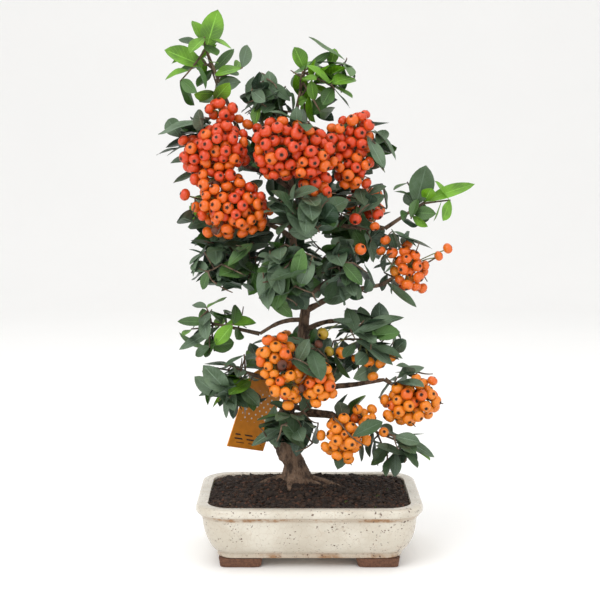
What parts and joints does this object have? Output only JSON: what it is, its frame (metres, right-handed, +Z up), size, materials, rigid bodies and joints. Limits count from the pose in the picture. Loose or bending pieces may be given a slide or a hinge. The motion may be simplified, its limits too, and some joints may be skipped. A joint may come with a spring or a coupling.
{
  "type": "bonsai tree",
  "caption": "Scarlet firethorn bonsai: an upright trunk with clusters of orange berries among dark leaves, in a cream glazed rectangular pot with rounded corners and a hung label.",
  "frame": {"origin": "centre of the whole object's bounding box, at the height it stands on", "axes": "+Z up along the trunk, +X to the right along the pot's long side, -Y towards the front"},
  "size_m": [0.2046, 0.1122, 0.364],
  "materials": {
    "cream_glaze": "glossy cream glaze with brown specks",
    "brown_clay": "unglazed brown clay",
    "dark_soil": "damp granular soil",
    "bark": "rough brown bark",
    "foliage": "satin leaves and glossy berries",
    "orange_label": "printed orange plate",
    "wire": "dull wire"
  },
  "bodies": {
    "root": {"back_left": "foliage", "back_low": "foliage", "back_middle": "foliage", "back_right": "foliage", "back_top": "foliage", "bough_back_left": "bark", "bough_back_low": "bark", "bough_back_middle": "bark", "bough_back_right": "bark", "bough_back_top": "bark", "bough_centre": "bark", "bough_front_low": "bark", "bough_high_left": "bark", "bough_high_right": "bark", "bough_left": "bark", "bough_left_lowest": "bark", "bough_left_shoot": "bark", "bough_low_left": "bark", "bough_right_bottom": "bark", "bough_right_far": "bark", "bough_right_low": "bark", "bough_right_row": "bark", "bough_right_shoot": "bark", "bough_right_under": "bark", "bough_right_upper": "bark", "bough_top_left": "bark", "crown_top": "foliage", "foot_back_left": "brown_clay", "foot_back_right": "brown_clay", "foot_front_left": "brown_clay", "foot_front_right": "brown_clay", "fruit_bottom": "foliage", "fruit_centre": "foliage", "fruit_front_low": "foliage", "fruit_high_left": "foliage", "fruit_high_right": "foliage", "fruit_low_left": "foliage", "fruit_right": "foliage", "fruit_right_low": "foliage", "fruit_right_row": "foliage", "label": "orange_label", "label_wire": "wire", "leaves_bottom_right": "foliage", "leaves_front": "foliage", "leaves_front_high": "foliage", "leaves_front_low": "foliage", "leaves_left": "foliage", "leaves_left_low": "foliage", "leaves_right": "foliage", "leaves_right_upper": "foliage", "pot": "cream_glaze", "shoot_left": "foliage", "shoot_right": "foliage", "shoot_top_left": "foliage", "soil": "dark_soil", "trunk": "bark", "tuft_top_right": "foliage"}
  },
  "joints": []
}
